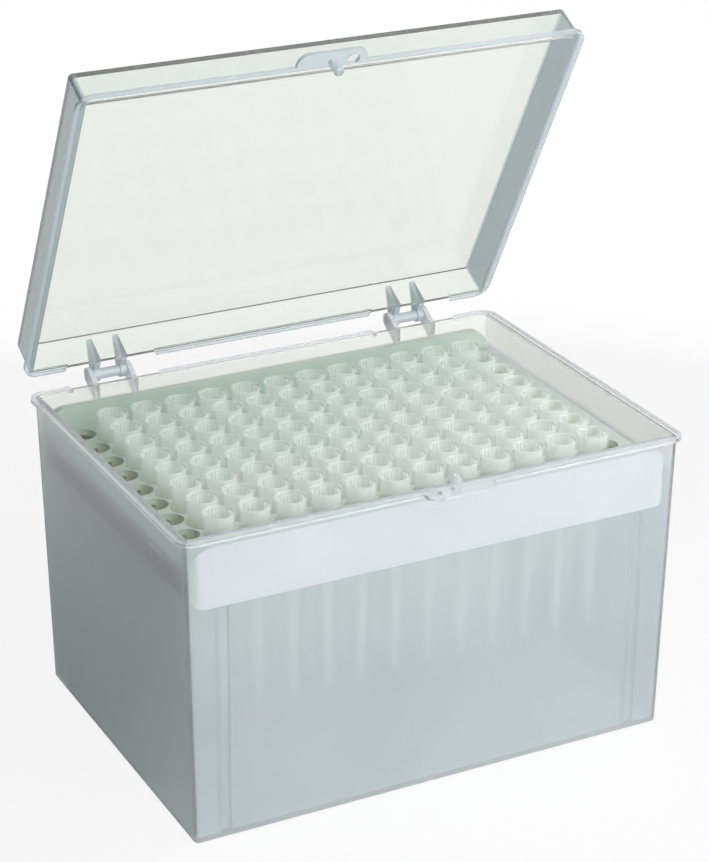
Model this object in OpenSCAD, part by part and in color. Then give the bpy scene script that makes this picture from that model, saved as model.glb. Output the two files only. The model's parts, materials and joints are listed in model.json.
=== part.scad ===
// Box of pipette tips: a thin moulded box with a hinged lid, a perforated rack that sits inside it
// on four ribs, and ninety-six tips that hang by their collars in the rack.
// Millimetres. The origin is the middle of the base, +Z is up and the catch faces -Y.

/* [Tips] */
// Tips along the length of the rack
tip_cols = 12; // [4:1:12]
// Tips across the width of the rack
tip_rows = 8; // [4:2:8]
// Distance between neighbouring tips
tip_pitch = 9; // [8.8:0.1:11]
// Length of a tip from its mouth to its point
tip_len = 51; // [40:0.5:56]
// Length of the collar at the mouth of a tip
collar_len = 10.9; // [8:0.1:13]
// Radius of the collar at the mouth
collar_mouth_r = 3.93; // [3.8:0.01:4.05]
// Radius of the collar at its foot
collar_foot_r = 3.72; // [3.5:0.01:3.78]
// Radius of the bore at the mouth, between the guide ribs
mouth_bore_r = 3.35; // [3.1:0.01:3.45]
// Depth of the wide part of the mouth
mouth_depth = 3.4; // [2:0.1:5]
// Guide ribs round the inside of the mouth
guide_ribs = 20; // [8:1:28]
// How far the guide ribs stand out of the bore
guide_rib_h = 0.5; // [0.2:0.05:0.6]
// Share of the bore's circumference that the guide ribs take
guide_rib_share = 0.4; // [0.2:0.05:0.6]
// Bevel of the guide ribs at the mouth
guide_drop = 0.4; // [0.2:0.1:1]
// Radius of the shank under the collar
shank_r = 2.45; // [2.2:0.01:2.9]
// Wall of the shank
shank_wall = 0.5; // [0.35:0.01:0.7]
// Outer radius of the point
point_r = 0.63; // [0.5:0.01:0.9]
// Radius of the hole in the point
point_bore_r = 0.3; // [0.2:0.01:0.4]

/* [Rack] */
// How far the collars stand above the deck
collar_show = 6.3; // [4.5:0.1:7]
// Deck beyond the outermost row of cells at each short end
rack_end = 8.3; // [7:0.1:12]
// Deck beyond the outermost row of cells at each long side
rack_side = 8.5; // [6.5:0.1:12]
// Corner radius of the rack
rack_corner_r = 2.5; // [1.5:0.1:8.5]
// Thickness of the deck
deck_t = 1.6; // [1:0.1:2.5]
// Height of the rack from its foot to the top of the deck
skirt_h = 10; // [9:0.1:14]
// Wall of the skirt
skirt_t = 1.4; // [1:0.1:2]
// Radius of the skirt's lower corners, seen from the front
skirt_corner_r = 3; // [0.5:0.1:4]
// Height of the lips along the long sides
lip_h = 5; // [2:0.1:7]
// Thickness of the lips
lip_t = 2.4; // [1:0.1:3]
// Clearance round a collar in its socket
socket_gap = 0.15; // [0.1:0.01:0.25]
// Ledge in a socket that carries the foot of the collar
ledge_t = 1.2; // [0.8:0.1:1.4]
// Clearance round the shank in the ledge
ledge_gap = 0.3; // [0.2:0.05:0.5]
// Wall of the block of sockets outside the outermost cells
block_wall = 0.4; // [0.2:0.1:1]
// Width of the slots at the short ends
slot_w = 6.4; // [4.6:0.1:6.6]
// How far the slots reach in between the outermost tips
slot_nest = 1.5; // [0:0.1:1.8]
// Deck between a slot and the end of the rack
slot_edge = 3; // [0.5:0.1:4]
// Length of the snap nubs on the short ends
nub_len = 6; // [4:0.1:10]
// Height of the snap nubs
nub_h = 1; // [0.8:0.1:1.6]
// Distance of the snap nubs from the middle of the short ends
nub_y = 28; // [22:0.5:30]

/* [Box] */
// Height of the box
box_h = 78.3; // [72:0.1:110]
// Depth of the deck below the rim of the box
deck_drop = 8.3; // [8:0.1:12]
// Thickness of the box walls
wall_t = 1; // [0.8:0.05:1.6]
// Thickness of the floor
floor_t = 1.2; // [1:0.1:2.5]
// Taper of each short wall from rim to base
draft_x = 1.3; // [0.6:0.05:1.5]
// Taper of each long wall from rim to base
draft_y = 0.95; // [0.4:0.05:1.2]
// Radius of the upright corners, outside
wall_corner_r = 1.2; // [0.8:0.1:4]
// Bevel round the underside
base_bevel = 0.3; // [0.1:0.1:0.7]
// Gap between the rack and a short wall at the rim
end_gap = 1.0; // [0.8:0.05:2]
// Gap between the rack and a long wall at the rim
side_gap = 0.6; // [0.5:0.05:1]
// Overhang of the rim flange
flange_over = 1.6; // [1.3:0.05:4]
// Thickness of the rim flange
flange_t = 1; // [0.8:0.05:2]
// Corner radius of the rim flange
flange_corner_r = 4; // [3:0.1:6]
// Width of the groove in the rim flange
groove_w = 0.6; // [0.4:0.05:0.9]
// Distance of the groove from the wall
groove_in = 0.3; // [0.2:0.05:0.5]
// Depth of the groove in the rim flange
groove_d = 0.3; // [0.2:0.05:0.4]
// Distance of the rack's ribs from the middle of the box
rib_x = 54.9; // [30:0.1:55.5]
// Width of the ribs
rib_w = 2.6; // [1.2:0.1:3]
// How far the ribs stand out of the wall
rib_out = 2; // [1.5:0.1:3]

/* [Hinge] */
// Distance of each hinge from the middle of the box
hinge_x = 42.5; // [30:0.5:44]
// Distance of the hinge axis behind the rim flange
hinge_back = 3.5; // [3.2:0.1:5]
// Height of the hinge axis above the rim
hinge_up = 0.35; // [0:0.05:1]
// Radius of the hinge pin
pin_r = 1.35; // [1.2:0.05:1.7]
// Clearance round the pin
pin_gap = 0.08; // [0.05:0.01:0.1]
// Distance between the ears of one hinge, middle to middle
ear_span = 10.4; // [9:0.1:14]
// Thickness of the ears
ear_t = 1.2; // [0.8:0.1:2.4]
// Wall of the ears round the pin
ear_wall = 0.6; // [0.5:0.05:1.3]
// Depth of the ears at the wall, where their lower edge bends
ear_foot = 1.2; // [0.8:0.1:2]
// How far the ears run down the wall
ear_drop = 6.4; // [6:0.1:20]
// Thickness of the lid arms
arm_t = 1.5; // [1.2:0.1:2.4]
// Wall of the arms round the pin
arm_wall = 0.45; // [0.4:0.05:1]
// Gap between an arm and its ear
arm_gap = 0.3; // [0.2:0.05:0.6]
// How far the arms run up the lid
arm_rise = 7.4; // [5:0.1:8.5]
// Width of the notch in both flanges for a hinge
notch_w = 23.2; // [20:0.1:25]
// Slant of the ends of the notches
notch_slant = 1.2; // [0:0.1:2]

/* [Lid] */
// Angle at which the lid stands open
lid_open = 61.4; // [0:0.1:110]
// Height of the lid
lid_h = 9.7; // [9.5:0.1:20]
// Wall of the lid
lid_wall = 0.9; // [0.8:0.05:1.6]
// Thickness of the lid's top
lid_top = 1.3; // [0.8:0.05:2]
// Radius round the top of the lid
lid_edge_r = 0.6; // [0.2:0.1:0.7]
// Thickness of the lid's flange
lid_flange_t = 0.9; // [0.7:0.05:1.6]
// Gap between the two flanges of the closed box
closed_gap = 0.15; // [0.1:0.01:0.3]

/* [Catch] */
// Width of the catch tabs
tab_w = 18; // [16:0.1:26]
// How far the catch tabs stand out of the flanges
tab_out = 3.8; // [3.2:0.1:6]
// Corner radius of the catch tabs
tab_corner_r = 3; // [1:0.1:3.2]
// Sideways shift of each tab, to the right on the box and to the left on the lid
tab_shift = 3.3; // [2:0.1:4]
// Place of the box's catch pin
box_pin_x = 2.2; // [1.8:0.1:4]
// Place of the lid's catch pin, left of the middle
lid_pin_x = 3.1; // [1.8:0.1:4]
// Distance of both catch pins in front of the flange
catch_out = 0.8; // [0.6:0.1:1.6]
// Radius of the catch pins
catch_r = 1.25; // [0.8:0.05:1.3]
// Clearance round the catch pins
catch_gap = 0.35; // [0.3:0.05:0.5]
// Height of the box's catch pin
box_pin_h = 3.6; // [2.5:0.1:6]
// Length of the lid's catch pin
lid_pin_h = 4; // [2.5:0.1:6]

/* [Hidden] */
ROUND = 64;
SOFT = 32;
SKIN = 0.01;
PAST = 1;

half_rows = tip_rows / 2;
SIDES = ["front", "back"];

field_hx = tip_cols * tip_pitch / 2;
field_hy = tip_rows * tip_pitch / 2;
rack_hx = field_hx + rack_end;
rack_hy = field_hy + rack_side;
deck_z = box_h - deck_drop;
foot_z = deck_z - skirt_h;
mouth_z = deck_z + collar_show;
collar_z = mouth_z - collar_len;
point_z = mouth_z - tip_len;
socket_depth = collar_len - collar_show;
socket_r = collar_foot_r + (collar_mouth_r - collar_foot_r) * socket_depth / collar_len + socket_gap;
ledge_r = shank_r + ledge_gap;

in_hx = rack_hx + end_gap;
in_hy = rack_hy + side_gap;
out_hx = in_hx + wall_t;
out_hy = in_hy + wall_t;
in_corner_r = max(wall_corner_r - wall_t, 0.2);
lid_in_corner_r = max(wall_corner_r - lid_wall, 0.3);
flange_hx = out_hx + flange_over;
flange_hy = out_hy + flange_over;
nub_z = deck_z - deck_t / 2 - nub_h;
nub_bite = 0.15;
nub_room = 0.3;
rib_root = 0.1;

groove_hx = out_hx + groove_in;
groove_hy = out_hy + groove_in;
groove_r = flange_corner_r - flange_over + groove_in;

hinge_y = flange_hy + hinge_back;
hinge_z = box_h + hinge_up;
ear_r = pin_r + pin_gap + ear_wall;
arm_r = pin_r + arm_wall;
arm_x = ear_span / 2 - ear_t / 2 - arm_gap - arm_t / 2;
lid_hx = out_hx + 0.1;
lid_hy = out_hy + 0.15;
lid_z = box_h + closed_gap;
catch_y = -flange_hy - catch_out;

function tips_name(c, s) = str("tips_", c < 10 ? "0" : "", c, "_", s);
// Half-sizes of the tapered cavity and body at a height
function in_x(z) = in_hx - draft_x * (box_h - z) / box_h;
function in_y(z) = in_hy - draft_y * (box_h - z) / box_h;
// Where a line from point p touches the circle of radius r round c, on the side given by turn
function touch(p, c, r, turn) =
    let (d = p - c, a = atan2(d[1], d[0]) + turn * acos(r / norm(d)))
    c + r * [cos(a), sin(a)];

module corners(hx, hy) {
    for (x = [-hx, hx], y = [-hy, hy]) translate([x, y]) children();
}

module round_rect(hx, hy, r) {
    square([2 * hx, 2 * (hy - r)], center = true);
    square([2 * (hx - r), 2 * hy], center = true);
    corners(hx - r, hy - r) circle(r = r, $fn = ROUND);
}

module plate(hx, hy, r, z, t) {
    translate([0, 0, z]) linear_extrude(t) round_rect(hx, hy, r);
}

// A tapered block with round upright corners and a bevel round its lower edge
module tapered(low_x, low_y, low_z, top_x, top_y, top_z, r, bevel) {
    hull() {
        translate([0, 0, low_z]) corners(low_x - r, low_y - r)
            cylinder(r = r - bevel, h = SKIN, $fn = SOFT);
        translate([0, 0, low_z + bevel]) corners(low_x - r, low_y - r)
            cylinder(r = r, h = SKIN, $fn = SOFT);
        translate([0, 0, top_z - SKIN]) corners(top_x - r, top_y - r)
            cylinder(r = r, h = SKIN, $fn = SOFT);
    }
}

// A block with round upright corners and a rounded upper edge
module domed(hx, hy, low_z, top_z, r, edge) {
    hull() corners(hx - r, hy - r) {
        translate([0, 0, low_z]) cylinder(r = r, h = top_z - low_z - edge, $fn = SOFT);
        translate([0, 0, top_z - edge]) rotate_extrude($fn = SOFT) {
            square([r - edge, edge]);
            translate([r - edge, 0]) intersection() {
                circle(r = edge, $fn = SOFT);
                square(edge);
            }
        }
    }
}

// The places left and right of the middle, and of both hinges' ears or arms
module both_hinges(x) {
    for (side = [-1, 1], out = [-1, 1]) translate([side * hinge_x + out * x, 0, 0]) children();
}

module upright(t) {
    rotate([90, 0, 90]) linear_extrude(t, center = true) children();
}

// Both flanges are cut back to the wall at the hinges
module hinge_notches(wall_y) {
    for (side = [-1, 1]) translate([side * hinge_x, 0]) polygon([
        [-notch_w / 2, wall_y],
        [-notch_w / 2 - notch_slant, flange_hy + PAST],
        [notch_w / 2 + notch_slant, flange_hy + PAST],
        [notch_w / 2, wall_y]
    ]);
}

module flange_shape(wall_y, shift) {
    difference() {
        union() {
            round_rect(flange_hx, flange_hy, flange_corner_r);
            translate([shift, -flange_hy]) round_rect(tab_w / 2, tab_out, tab_corner_r);
        }
        hinge_notches(wall_y);
    }
}

module flange_groove(z) {
    difference() {
        plate(groove_hx + groove_w, groove_hy + groove_w, groove_r + groove_w, z, groove_d);
        plate(groove_hx, groove_hy, groove_r, z - PAST, groove_d + 2 * PAST);
    }
}

module hinge_ear() {
    centre = [hinge_y, hinge_z];
    low = [out_hy + ear_foot, box_h - ear_drop + 1.4 * ear_foot];
    top = [lid_hy + ear_r / 4, box_h];
    upright(ear_t) difference() {
        union() {
            polygon([
                [out_hy - wall_t / 2, box_h],
                [out_hy - wall_t / 2, box_h - ear_drop],
                [out_hy, box_h - ear_drop],
                low,
                touch(low, centre, ear_r, 1),
                centre,
                touch(top, centre, ear_r, -1),
                top
            ]);
            translate(centre) circle(r = ear_r, $fn = ROUND);
        }
        translate(centre) circle(r = pin_r + pin_gap, $fn = ROUND);
    }
}

module rack_rib() {
    upright(rib_w) polygon([
        [in_y(0) + wall_t / 2, floor_t / 2],
        [in_y(foot_z) + wall_t / 2, foot_z],
        [in_y(foot_z) - rib_out, foot_z],
        [in_y(0) - rib_out, floor_t / 2]
    ]);
}

module box() {
    color([0.80, 0.85, 0.88, 0.6]) difference() {
        union() {
            difference() {
                union() {
                    tapered(out_hx - draft_x, out_hy - draft_y, 0, out_hx, out_hy, box_h,
                        wall_corner_r, base_bevel);
                    translate([0, 0, box_h - flange_t]) linear_extrude(flange_t)
                        flange_shape(out_hy, tab_shift);
                }
                tapered(in_x(floor_t), in_y(floor_t), floor_t, in_x(box_h + PAST), in_y(box_h + PAST),
                    box_h + PAST, in_corner_r, in_corner_r / 2);
            }
            for (side = [0, 1], x = [-rib_x, rib_x]) mirror([0, side, 0])
                translate([x, 0, 0]) rack_rib();
            both_hinges(ear_span / 2) hinge_ear();
            translate([box_pin_x, catch_y, box_h - flange_t / 2]) catch_pin(box_pin_h + flange_t / 2);
        }
        flange_groove(box_h - groove_d);
        translate([-lid_pin_x, catch_y, box_h - flange_t - PAST])
            cylinder(r = catch_r + catch_gap, h = flange_t + 2 * PAST, $fn = ROUND);
        for (side = [0, 1], y = [-nub_y, nub_y]) mirror([side, 0, 0])
            translate([in_x(nub_z) - 1, y, nub_z]) snap_groove();
    }
}

// A catch pin standing on z = 0, with a bevelled end
module catch_pin(h) {
    bevel = catch_r / 3;
    cylinder(r = catch_r, h = h - bevel, $fn = ROUND);
    translate([0, 0, h - bevel]) cylinder(r1 = catch_r, r2 = catch_r - bevel, h = bevel, $fn = ROUND);
}

module snap_groove() {
    w = 1 + nub_bite + nub_room;
    h = nub_h + 2 * nub_room;
    translate([0, -nub_len / 2 - nub_room, -h / 2]) cube([w, nub_len + 2 * nub_room, h]);
}

module lid_arm() {
    centre = [hinge_y, hinge_z];
    top = [lid_hy + 0.1, lid_z + arm_rise];
    upright(arm_t) {
        polygon([
            [lid_hy - lid_wall / 2, lid_z],
            [lid_hy - lid_wall / 2, lid_z + arm_rise],
            top,
            touch(top, centre, arm_r, -1),
            centre,
            [hinge_y - 0.9 * arm_r, lid_z]
        ]);
        translate(centre) circle(r = arm_r, $fn = ROUND);
    }
}

module closed_lid() {
    difference() {
        union() {
            difference() {
                union() {
                    domed(lid_hx, lid_hy, lid_z, lid_z + lid_h, wall_corner_r, lid_edge_r);
                    translate([0, 0, lid_z]) linear_extrude(lid_flange_t)
                        flange_shape(lid_hy, -tab_shift);
                }
                domed(lid_hx - lid_wall, lid_hy - lid_wall, lid_z - PAST, lid_z + lid_h - lid_top,
                    lid_in_corner_r, lid_in_corner_r / 2);
            }
            both_hinges(arm_x) lid_arm();
            for (side = [-1, 1]) translate([side * hinge_x, hinge_y, hinge_z]) rotate([0, 90, 0])
                cylinder(r = pin_r, h = ear_span + ear_t, center = true, $fn = ROUND);
            translate([-lid_pin_x, catch_y, lid_z + lid_flange_t / 2]) mirror([0, 0, 1])
                catch_pin(lid_pin_h + lid_flange_t / 2);
        }
        flange_groove(lid_z);
        translate([box_pin_x, catch_y, lid_z - PAST])
            cylinder(r = catch_r + catch_gap, h = lid_flange_t + 2 * PAST, $fn = ROUND);
    }
}

module lid() {
    color([0.84, 0.88, 0.88, 0.6]) translate([0, hinge_y, hinge_z]) rotate([-lid_open, 0, 0])
        translate([0, -hinge_y, -hinge_z]) closed_lid();
}

// The middles of the tips in one half of a column
module half_column(c, s) {
    x = (c - (tip_cols + 1) / 2) * tip_pitch;
    first = s == SIDES[0] ? 0 : half_rows;
    for (r = [first : first + half_rows - 1])
        translate([x, (r + 0.5) * tip_pitch - field_hy, 0]) children();
}

module rack_slot() {
    x0 = field_hx - slot_nest + slot_w / 2;
    x1 = rack_hx - slot_edge - slot_w / 2;
    translate([x0, 0]) circle(r = slot_w / 2, $fn = ROUND);
    translate([x1, 0]) circle(r = slot_w / 2, $fn = ROUND);
    translate([x0, -slot_w / 2]) square([x1 - x0, slot_w]);
}

// The lips follow the rack's outline and roll down to the deck at both ends
module rack_lips() {
    intersection() {
        difference() {
            plate(rack_hx, rack_hy, rack_corner_r, deck_z - deck_t / 2, lip_h + deck_t / 2);
            plate(rack_hx + PAST, rack_hy - lip_t, SKIN, deck_z - PAST, lip_h + 2 * PAST);
        }
        union() {
            cube([2 * (rack_hx - lip_h), 4 * rack_hy, 4 * box_h], center = true);
            for (x = [-1, 1]) translate([x * (rack_hx - lip_h), 0, deck_z]) rotate([90, 0, 0])
                cylinder(r = lip_h, h = 4 * rack_hy, center = true, $fn = ROUND);
        }
    }
}

// What the lower corners of the long sides lack
module skirt_corners() {
    for (side = [0, 1]) mirror([side, 0, 0]) translate([rack_hx - skirt_corner_r, 0, foot_z + skirt_corner_r])
        rotate([90, 0, 0]) linear_extrude(4 * rack_hy, center = true) difference() {
            translate([0, -skirt_corner_r - PAST]) square(skirt_corner_r + PAST);
            circle(r = skirt_corner_r, $fn = ROUND);
        }
}

module rack_nub() {
    reach = in_x(nub_z) - rack_hx + nub_bite;
    rotate([90, 0, 0]) linear_extrude(nub_len, center = true) polygon([
        [-skirt_t / 2, -nub_h / 2],
        [0, -nub_h / 2],
        [reach, -nub_h / 6],
        [reach, nub_h / 6],
        [0, nub_h / 2],
        [-skirt_t / 2, nub_h / 2]
    ]);
}

module rack() {
    color([0.80, 0.88, 0.83]) difference() {
        union() {
            difference() {
                plate(rack_hx, rack_hy, rack_corner_r, foot_z, skirt_h);
                plate(rack_hx - skirt_t, rack_hy - skirt_t, rack_corner_r - skirt_t,
                    foot_z - PAST, skirt_h - deck_t + PAST);
            }
            translate([0, 0, collar_z - ledge_t]) linear_extrude(deck_z - deck_t / 2 - collar_z + ledge_t)
                round_rect(field_hx + block_wall, field_hy + block_wall, rack_corner_r - block_wall);
            rack_lips();
            for (side = [0, 1], y = [-nub_y, nub_y]) mirror([side, 0, 0])
                translate([rack_hx, y, nub_z]) rack_nub();
        }
        for (c = [1 : tip_cols], s = SIDES) half_column(c, s) {
            translate([0, 0, collar_z]) cylinder(r = socket_r, h = socket_depth + lip_h, $fn = ROUND);
            translate([0, 0, foot_z]) cylinder(r = ledge_r, h = skirt_h, $fn = ROUND);
        }
        for (side = [0, 1], i = [-half_rows : half_rows]) mirror([side, 0, 0])
            translate([0, i * tip_pitch, foot_z]) linear_extrude(skirt_h + PAST) rack_slot();
        skirt_corners();
    }
}

// The bore of the mouth with ribs round it
module ribbed_bore() {
    step = 360 / guide_ribs;
    rib = step * guide_rib_share;
    polygon([for (i = [0 : guide_ribs - 1], k = [0 : 3])
        let (a = i * step + [0, rib, rib, step][k], r = mouth_bore_r - (k < 2 ? guide_rib_h : 0))
        r * [cos(a), sin(a)]]);
}

// A tip hangs on z = 0 by the foot of its collar
module tip() {
    mouth = collar_len;
    point = collar_len - tip_len;
    shank_bore_r = shank_r - shank_wall;
    rotate_extrude($fn = ROUND) polygon([
        [point_bore_r, point],
        [point_r, point],
        [shank_r, 0],
        [collar_foot_r, 0],
        [collar_mouth_r, mouth],
        [mouth_bore_r + rib_root, mouth],
        [mouth_bore_r + rib_root, mouth - mouth_depth],
        [shank_r, mouth - mouth_depth],
        [shank_bore_r, 0]
    ]);
    translate([0, 0, mouth - mouth_depth - rib_root]) linear_extrude(mouth_depth - guide_drop + rib_root)
    difference() {
        circle(r = mouth_bore_r + 2 * rib_root, $fn = ROUND);
        ribbed_bore();
    }
}

module tips(c, s) {
    color([0.82, 0.90, 0.88, 0.7]) half_column(c, s) translate([0, 0, collar_z]) tip();
}

box();
lid();
rack();
for (c = [1 : tip_cols], s = SIDES) {
    tips(c, s);
}
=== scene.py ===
"""Looks of the box of pipette tips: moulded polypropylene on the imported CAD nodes, in a plain white studio."""

import json
import math

import bpy
from mathutils import Matrix, Vector

WHITE = (1.0, 1.0, 1.0, 1.0)

# Camera: angles in degrees, lens and sensor in millimetres, the rest in metres. It looks at RIM_MIDDLE + AIM.
AZIMUTH, ELEVATION, ROLL = -27.312, 23.752, 0.234
DISTANCE = 0.636959
RIM_MIDDLE = Vector((0, 0, 0.0783))
AIM = Vector((0.00462, 0.004108, -0.006686))
LENS, SENSOR = 131.52, 36.0
SHIFT = (-0.0079, -0.0004)
CLIP = (0.01, 20.0)

# Sky: its strength follows the cosine of the angle to its bright side, at the front right
SKY_BRIGHT_SIDE = (0.5, -0.85, 0.0)
SKY_COSINES = (-0.4, 0.9)
SKY_STRENGTHS = (0.12, 0.64)

# Lamps: place, target and size in metres, and power in watts
LAMPS = {
    "key": ((0.15, -0.63, 0.17), (0, 0, 0.05), (0.55, 0.3), 1.75),
    "top": ((0.08, -0.20, 0.30), (0, 0, 0.07), (0.2, 0.2), 0.36),
    "back": ((0.35, 0.75, 0.35), (0, 0, 0.05), (0.6, 0.4), 1.0),
}

# Floor: paler to the eye than as a source of light, and turning pure white between two distances from the middle
FLOOR_HALF, FLOOR_Z = 4.0, -0.0002
FLOOR_SEEN, FLOOR_BOUNCE, FLOOR_ROUGH = (0.98, 0.98, 0.98), (0.3, 0.3, 0.3), 0.8
FLOOR_GLOW = 0.85
FLOOR_FADE = (0.09, 0.3)

# Light paths: most bounces of each kind
BOUNCES, DIFFUSE_BOUNCES, TRANSMISSION_BOUNCES, TRANSPARENT_BOUNCES = 8, 3, 8, 32

# Every plastic: its refraction, the cells a metre of its patches with the noise that their colour and roughness
# span, the depth of its grain in metres, and the detail of both noises
PLASTIC_IOR = 1.49
PATCHES, PATCH_COLOURS, PATCH_ROUGH = 35.0, (0.35, 0.65), (0.3, 0.7)
GRAIN_DEPTH = 0.00005
NOISE_DETAIL = 2.0

# Each plastic: the two colours of its patches, its roughness, the cells a metre of its grain, the grain's strength,
# and the share of a lamp's light that passes each face
PLASTICS = {
    "box": (((0.775, 0.835, 0.85), (0.805, 0.855, 0.87)), (0.2, 0.26), 2200, 0.3, 0.92),
    "lid": (((0.885, 0.92, 0.875), (0.90, 0.93, 0.885)), (0.08, 0.12), 1400, 0.15, 0.9),
    # The rack's colours here are painted shade: the deck's green at its back left corner
    "rack": (((0.47, 0.58, 0.51), (0.52, 0.62, 0.55)), (0.42, 0.5), 2600, 0.3, None),
    # The tips' colours here are painted shade, as at their back left corner
    "tip": (((0.80, 0.89, 0.84), (0.83, 0.90, 0.86)), (0.2, 0.26), 1800, 0.1, 0.97),
}

# Places and fades on the part are in metres, and a mask runs from 0 to 1 over its fade
DECK_Z = 0.070

# Box: its trim is the flange, ears and catch, and TRIM_CLEAR runs from the front to the back
BOX_IN, BOX_OUT = (0.0633, 0.0451), (0.0643, 0.0461)  # half sizes of the walls, inside and outside
RIM_FADE, BOX_WALL_FADE, BOX_TRIM_FADE = 0.001, (-0.0004, -0.0001), (0.0001, 0.0003)
RIM_COLOUR, TRIM_COLOUR = (0.95, 0.965, 0.93), (0.90, 0.93, 0.95)
BOX_CLEAR, RIM_CLEAR, TRIM_CLEAR = 0.74, 0.92, (0.78, 0.5)

# Lid, placed as if it were shut: its arms lie within ARM_REACH of HINGE_X on each side
HINGE = "lid_hinge"
LID_IN, LID_OUT = (0.0630, 0.0448), (0.0645, 0.0464)  # half sizes of the walls, inside and outside
LID_WALL_FADE, LID_FLANGE_FADE = 0.0004, 0.0002
HINGE_X, ARM_REACH = 0.0425, (0.0070, 0.0075)
# The lid's ends are frosted, and their colour is painted darker as shade
LID_FRONT_COLOUR, LID_END_SHADE_COLOUR = (0.97, 0.99, 0.98), (0.60, 0.67, 0.69)
LID_FLANGE_COLOUR, ARM_COLOUR = (0.80, 0.87, 0.90), (0.66, 0.72, 0.77)
LID_CLEAR, LID_SIDE_CLEAR, ARM_CLEAR = 0.93, 0.62, 0.25

# Painted shade: a dark streak in the corner under the lid's plate, standing in for the darkening by refraction there:
# its height, how far it lies outside LID_IN, its half width, and how far behind the front wall it starts
SHADE_LINE_Z, SHADE_LINE_OUT, SHADE_LINE_WIDTH = 0.08685, 0.0005, (0.0002, 0.00025)
SHADE_LINE_START = (0.0005, 0.001)
SHADE_LINE_COLOUR, SHADE_LINE_CLEAR = (0.15, 0.16, 0.15), 0.4

# Rack and tips: painted light and shade, darker and greener at the back left corner and paler along a slant to the
# front right one, where the light falls
PAINTED_LIGHT_SLANT, PAINTED_LIGHT_REACH = 0.4, (-0.06, 0.06)
RACK_OUT, SKIRT_FADE = (0.0623, 0.0445), (-0.0003, -0.0001)
# The hole colour is a painted yellow-green shade deep inside each hole, fading in between these depths under the deck
HOLE_SHADE_DEPTHS = (0.0003, 0.0015)
# The front colours of rack and tips are painted light, the lit end of their slant
RACK_LIT_FRONT, HOLE_SHADE_COLOUR, SKIRT_COLOUR = (0.80, 0.88, 0.82), (0.78, 0.86, 0.66), (0.95, 0.90, 0.91)
TIP_LIT_FRONT = (0.95, 0.99, 0.96)
TIP_SOCKETS = {"Alpha": 0.33, "Sheen Weight": 0.6, "Sheen Roughness": 0.3, "Coat Weight": 1.0, "Coat Roughness": 0.12}


class Graph:
    """The nodes of a material or world. A value given to its calls is a socket to link from, or a plain one."""

    def __init__(self, owner):
        owner.use_nodes = True
        self.nodes, self.links = owner.node_tree.nodes, owner.node_tree.links

    def feed(self, socket, value):
        if isinstance(value, bpy.types.NodeSocket):
            self.links.new(value, socket)
        else:
            socket.default_value = value

    def node(self, kind, inputs=None, **settings):
        """A new node with these settings, and these inputs by name or number."""
        made = self.nodes.new("ShaderNode" + kind)
        for name, value in settings.items():
            setattr(made, name, value)
        for key, value in (inputs or {}).items():
            self.feed(made.inputs[key], value)
        return made

    def math(self, operation, *values):
        return self.node("Math", dict(enumerate(values)), operation=operation).outputs[0]

    def spread(self, source, start, end, low=0, high=1, interpolation="LINEAR"):
        """Maps a value from start..end to low..high, and holds it there outside."""
        inputs = {"Value": source, "From Min": start, "From Max": end, "To Min": low, "To Max": high}
        return self.node("MapRange", inputs, interpolation_type=interpolation).outputs["Result"]

    def towards(self, share, first, second):
        """A number between two."""
        return self.node("Mix", {0: share, 2: first, 3: second}).outputs[0]

    def blend(self, share, first, second):
        """A colour between two."""
        first, second = ((*value, 1) if isinstance(value, tuple) else value for value in (first, second))
        return self.node("Mix", {0: share, 6: first, 7: second}, data_type="RGBA").outputs[2]

    def place(self):
        """The point's place on its own object."""
        return self.node("TexCoord").outputs["Object"]

    def axes(self, place):
        return self.node("SeparateXYZ", {0: place}).outputs

    def noise(self, scale):
        inputs = {"Vector": self.place(), "Scale": scale, "Detail": NOISE_DETAIL}
        return self.node("TexNoise", inputs).outputs["Fac"]

    def outside(self, x, y, half):
        """How far a point lies outside an upright rectangle of these half sizes: along x, and along either."""
        out_x = self.math("SUBTRACT", self.math("ABSOLUTE", x), half[0])
        out_y = self.math("SUBTRACT", self.math("ABSOLUTE", y), half[1])
        return out_x, self.math("MAXIMUM", out_x, out_y)

    def off(self, value, middle):
        """How far a value lies from another, on either side."""
        return self.math("ABSOLUTE", self.math("SUBTRACT", value, middle))

    def mixed(self, share, first, second, out):
        """Mixes two shaders into an output."""
        mix = self.node("MixShader", {0: share, 1: first.outputs[0], 2: second.outputs[0]})
        self.feed(out, mix.outputs[0])


def new_material(name):
    """A material with its graph and its Principled shader."""
    material = bpy.data.materials.new(name)
    graph = Graph(material)
    return material, graph, graph.nodes["Principled BSDF"]


def plastic(kind):
    """Moulded polypropylene, with its haze in patches and a fine grain. Also returns the socket of its colour."""
    colours, rough, grain, strength, lamps = PLASTICS[kind]
    material, graph, shader = new_material(kind + "_plastic")
    shader.inputs["IOR"].default_value = PLASTIC_IOR
    patches = graph.noise(PATCHES)
    colour = graph.blend(graph.spread(patches, *PATCH_COLOURS), *colours)
    graph.feed(shader.inputs["Roughness"], graph.spread(patches, *PATCH_ROUGH, *rough))
    bump = graph.node("Bump", {"Strength": strength, "Distance": GRAIN_DEPTH, "Height": graph.noise(grain)})
    graph.feed(shader.inputs["Normal"], bump.outputs["Normal"])
    if lamps:
        lamps_pass(graph, shader, lamps)
    return material, graph, shader, colour


def lamps_pass(graph, shader, share):
    """Lamps shine through each face of the wall, and lose the rest of their light there."""
    through = graph.node("BsdfTransparent", {"Color": (share, share, share, 1)})
    shadow = graph.node("LightPath").outputs["Is Shadow Ray"]
    graph.mixed(shadow, shader, through, graph.nodes["Material Output"].inputs["Surface"])


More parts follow.
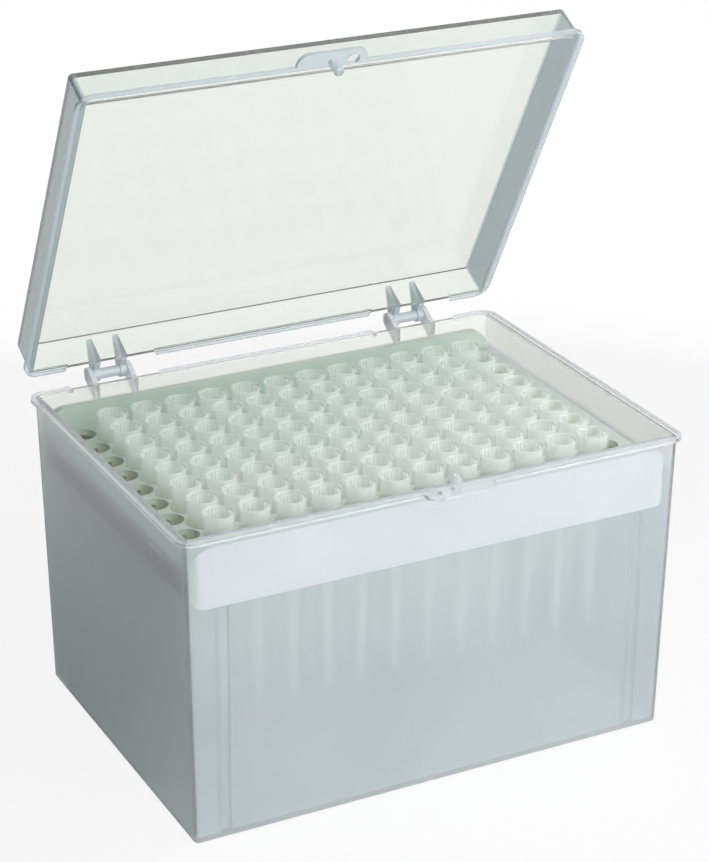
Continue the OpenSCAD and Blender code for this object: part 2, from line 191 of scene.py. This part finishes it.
def box_plastic():
    """Frosted, clear above the deck along the back and the right end, and cloudy in the flange, ears and catch."""
    material, graph, shader, colour = plastic("box")
    x, y, z = graph.axes(graph.place())
    above = graph.spread(z, DECK_Z - RIM_FADE, DECK_Z + RIM_FADE, interpolation="SMOOTHSTEP")
    right, back = (graph.spread(value, *(half + fade for fade in BOX_WALL_FADE))
                   for value, half in zip((x, y), BOX_IN))
    rim = graph.math("MULTIPLY", above, graph.math("MAXIMUM", right, back))
    trim = graph.spread(graph.outside(x, y, BOX_OUT)[1], *BOX_TRIM_FADE)

    walls = graph.towards(rim, BOX_CLEAR, RIM_CLEAR)
    trim_clear = graph.spread(y, -BOX_IN[1], BOX_IN[1], *TRIM_CLEAR)
    colour = graph.blend(trim, graph.blend(rim, colour, RIM_COLOUR), TRIM_COLOUR)
    graph.feed(shader.inputs["Transmission Weight"], graph.towards(trim, walls, trim_clear))
    graph.feed(shader.inputs["Base Color"], colour)
    return material


def shut_place(graph, hinge):
    """The point's place when the lid is turned shut about its hinge."""
    middle, turn = Vector(hinge["pos_m"]), math.radians(-hinge["range_deg"][0])
    move = middle - Matrix.Rotation(turn, 3, "X") @ middle
    return graph.node("Mapping", {"Vector": graph.place(), "Rotation": (turn, 0, 0), "Location": move}).outputs[0]


def lid_plastic(hinge):
    """Clear, with frosted ends and flange, cloudy arms and pins; the ends are painted darker as shade, and a dark
    streak of refraction shade is painted in the corner round the plate.
    """
    material, graph, shader, colour = plastic("lid")
    x, y, z = graph.axes(shut_place(graph, hinge))
    out_x, inner = graph.outside(x, y, LID_IN)
    ends = graph.spread(out_x, 0, LID_WALL_FADE)
    front = graph.spread(y, -LID_IN[1], -LID_IN[1] - LID_WALL_FADE)
    flange = graph.spread(graph.outside(x, y, LID_OUT)[1], 0, LID_FLANGE_FADE)
    beside = graph.spread(graph.off(graph.math("ABSOLUTE", x), HINGE_X), *ARM_REACH, 1, 0)
    arm = graph.math("MULTIPLY", beside, graph.spread(y, LID_OUT[1], LID_OUT[1] + LID_FLANGE_FADE))
    # Painted shade: the dark streak in the corner under the plate, where refraction darkens it
    shade_line = graph.spread(y, *(start - LID_IN[1] for start in SHADE_LINE_START))
    for distance in (graph.off(inner, SHADE_LINE_OUT), graph.off(z, SHADE_LINE_Z)):
        shade_line = graph.math("MULTIPLY", shade_line, graph.spread(distance, *SHADE_LINE_WIDTH, 1, 0))

    clear = graph.towards(shade_line, LID_CLEAR, SHADE_LINE_CLEAR)
    clear = graph.towards(graph.math("MAXIMUM", ends, flange), clear, LID_SIDE_CLEAR)
    clear = graph.towards(arm, clear, ARM_CLEAR)
    # The ends and the corner streak get their painted shade here
    for share, other in ((shade_line, SHADE_LINE_COLOUR), (front, LID_FRONT_COLOUR), (ends, LID_END_SHADE_COLOUR),
                         (flange, LID_FLANGE_COLOUR), (arm, ARM_COLOUR)):
        colour = graph.blend(share, colour, other)
    graph.feed(shader.inputs["Transmission Weight"], clear)
    graph.feed(shader.inputs["Base Color"], colour)
    return material


def painted_light_slant(graph, x, y):
    """The share of painted light: runs from 0 at the rack's back left corner, painted as shade, to 1 at its front
    right one, painted as lit.
    """
    return graph.spread(graph.math("SUBTRACT", graph.math("MULTIPLY", x, PAINTED_LIGHT_SLANT), y), *PAINTED_LIGHT_REACH)


def rack_plastic():
    """White outside; on the deck painted green as shade, most so at the back left, and painted a yellower shade deep
    inside each hole.
    """
    material, graph, shader, colour = plastic("rack")
    x, y, z = graph.axes(graph.place())
    # Painted shade: a yellower tint on all below the deck, as deep inside each hole
    hole_shade = graph.spread(z, *(DECK_Z - depth for depth in HOLE_SHADE_DEPTHS))
    skirt = graph.spread(graph.outside(x, y, RACK_OUT)[1], *SKIRT_FADE)
    # Painted light and shade on the deck and inside each hole; the skirt outside is white
    for share, other in ((painted_light_slant(graph, x, y), RACK_LIT_FRONT), (hole_shade, HOLE_SHADE_COLOUR), (skirt, SKIRT_COLOUR)):
        colour = graph.blend(share, colour, other)
    graph.feed(shader.inputs["Base Color"], colour)
    return material


def tip_plastic():
    """A thin milky film, which lets the light of the neighbours through, with a coat for its highlights."""
    material, graph, shader, colour = plastic("tip")
    x, y, _ = graph.axes(graph.place())
    # Painted light and shade: the film is darker and greener at the back left and paler towards the front right
    graph.feed(shader.inputs["Base Color"], graph.blend(painted_light_slant(graph, x, y), colour, TIP_LIT_FRONT))
    for name, value in TIP_SOCKETS.items():
        shader.inputs[name].default_value = value
    return material


def dress(frame):
    """Gives every CAD node its plastic."""
    hinge = next(joint for joint in frame["joints"] if joint["name"] == HINGE)
    made = {"box": box_plastic(), "lid": lid_plastic(hinge), "rack": rack_plastic(), "tips": tip_plastic()}
    for name, node in frame["nodes"].items():
        node.data.materials.clear()
        node.data.materials.append(made["tips" if name.startswith("tips") else name])


def sky():
    """White to the camera, and as light brightest towards one side."""
    world = bpy.data.worlds.new("sky")
    bpy.context.scene.world = world
    graph = Graph(world)
    light, seen = graph.nodes["Background"], graph.node("Background", {"Color": WHITE})
    light.inputs["Color"].default_value = WHITE
    direction = graph.node("TexCoord").outputs["Generated"]
    bright_side = Vector(SKY_BRIGHT_SIDE).normalized()
    cosine = graph.node("VectorMath", {0: direction, 1: bright_side}, operation="DOT_PRODUCT").outputs["Value"]
    graph.feed(light.inputs["Strength"], graph.spread(cosine, *SKY_COSINES, *SKY_STRENGTHS))
    to_camera = graph.node("LightPath").outputs["Is Camera Ray"]
    graph.mixed(to_camera, light, seen, graph.nodes["World Output"].inputs["Surface"])


def floor():
    """A pale floor that keeps the shadow by the box and turns white further off."""
    mesh = bpy.data.meshes.new("floor")
    corners = [(x * FLOOR_HALF, y * FLOOR_HALF, 0) for x, y in ((-1, -1), (1, -1), (1, 1), (-1, 1))]
    mesh.from_pydata(corners, [], [(0, 1, 2, 3)])
    plane = bpy.data.objects.new("floor", mesh)
    plane.location.z = FLOOR_Z
    bpy.context.collection.objects.link(plane)
    material, graph, shader = new_material("floor_white")
    mesh.materials.append(material)

    path = graph.node("LightPath").outputs
    seen = graph.math("MAXIMUM", path["Is Camera Ray"], path["Is Transmission Ray"])
    seen = graph.math("MAXIMUM", seen, path["Is Glossy Ray"])
    graph.feed(shader.inputs["Base Color"], graph.blend(seen, FLOOR_BOUNCE, FLOOR_SEEN))
    shader.inputs["Roughness"].default_value = FLOOR_ROUGH
    glow = graph.node("Emission", {"Color": WHITE})
    away = graph.node("VectorMath", {0: graph.place()}, operation="LENGTH").outputs["Value"]
    far = graph.spread(away, *FLOOR_FADE, interpolation="SMOOTHSTEP")
    share = graph.math("MAXIMUM", graph.math("MULTIPLY", path["Is Camera Ray"], FLOOR_GLOW),
                       graph.math("MULTIPLY", far, seen))
    graph.mixed(share, shader, glow, graph.nodes["Material Output"].inputs["Surface"])


def lamp(name, place, target, size, watts):
    data = bpy.data.lights.new(name, "AREA")
    data.shape = "RECTANGLE"
    data.size, data.size_y = size
    data.energy = watts
    light = bpy.data.objects.new(name, data)
    light.visible_camera = False
    light.location = place
    light.rotation_mode = "QUATERNION"
    light.rotation_quaternion = (Vector(target) - Vector(place)).to_track_quat("-Z", "Y")
    bpy.context.collection.objects.link(light)


def camera():
    """Looks at the rim's middle and a little beside it, from an azimuth and elevation, with a small roll."""
    a, e, r = (math.radians(v) for v in (AZIMUTH, ELEVATION, ROLL))
    back = Vector((math.sin(a) * math.cos(e), -math.cos(a) * math.cos(e), math.sin(e)))
    side = (-back).cross(Vector((0, 0, 1))).normalized()
    up = side.cross(-back)
    right = math.cos(r) * side + math.sin(r) * up
    top = math.cos(r) * up - math.sin(r) * side
    data = bpy.data.cameras.new("camera")
    data.sensor_fit = "HORIZONTAL"
    data.sensor_width = SENSOR
    data.lens = LENS
    data.shift_x, data.shift_y = SHIFT
    data.clip_start, data.clip_end = CLIP
    view = bpy.data.objects.new("camera", data)
    turn = Matrix((right, top, back)).transposed().to_4x4()
    view.matrix_world = Matrix.Translation(RIM_MIDDLE + AIM + DISTANCE * back) @ turn
    bpy.context.collection.objects.link(view)
    bpy.context.scene.camera = view


def light_paths():
    """Enough bounces for light to pass the many thin walls."""
    paths = bpy.context.scene.cycles
    paths.max_bounces = BOUNCES
    paths.diffuse_bounces = DIFFUSE_BOUNCES
    paths.transmission_bounces = TRANSMISSION_BOUNCES
    paths.transparent_max_bounces = TRANSPARENT_BOUNCES


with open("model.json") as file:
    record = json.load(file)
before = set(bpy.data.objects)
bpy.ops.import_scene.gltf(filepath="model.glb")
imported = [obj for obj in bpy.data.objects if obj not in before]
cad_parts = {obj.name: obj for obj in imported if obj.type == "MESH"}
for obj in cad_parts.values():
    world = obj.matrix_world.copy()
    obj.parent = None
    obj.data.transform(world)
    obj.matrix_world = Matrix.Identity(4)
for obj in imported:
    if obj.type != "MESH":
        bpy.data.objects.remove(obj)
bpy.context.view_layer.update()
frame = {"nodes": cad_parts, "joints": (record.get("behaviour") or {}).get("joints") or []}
bpy.context.scene.view_settings.view_transform = "Standard"
light_paths()
dress(frame)
sky()
floor()
for name, settings in LAMPS.items():
    lamp(name, *settings)
camera()
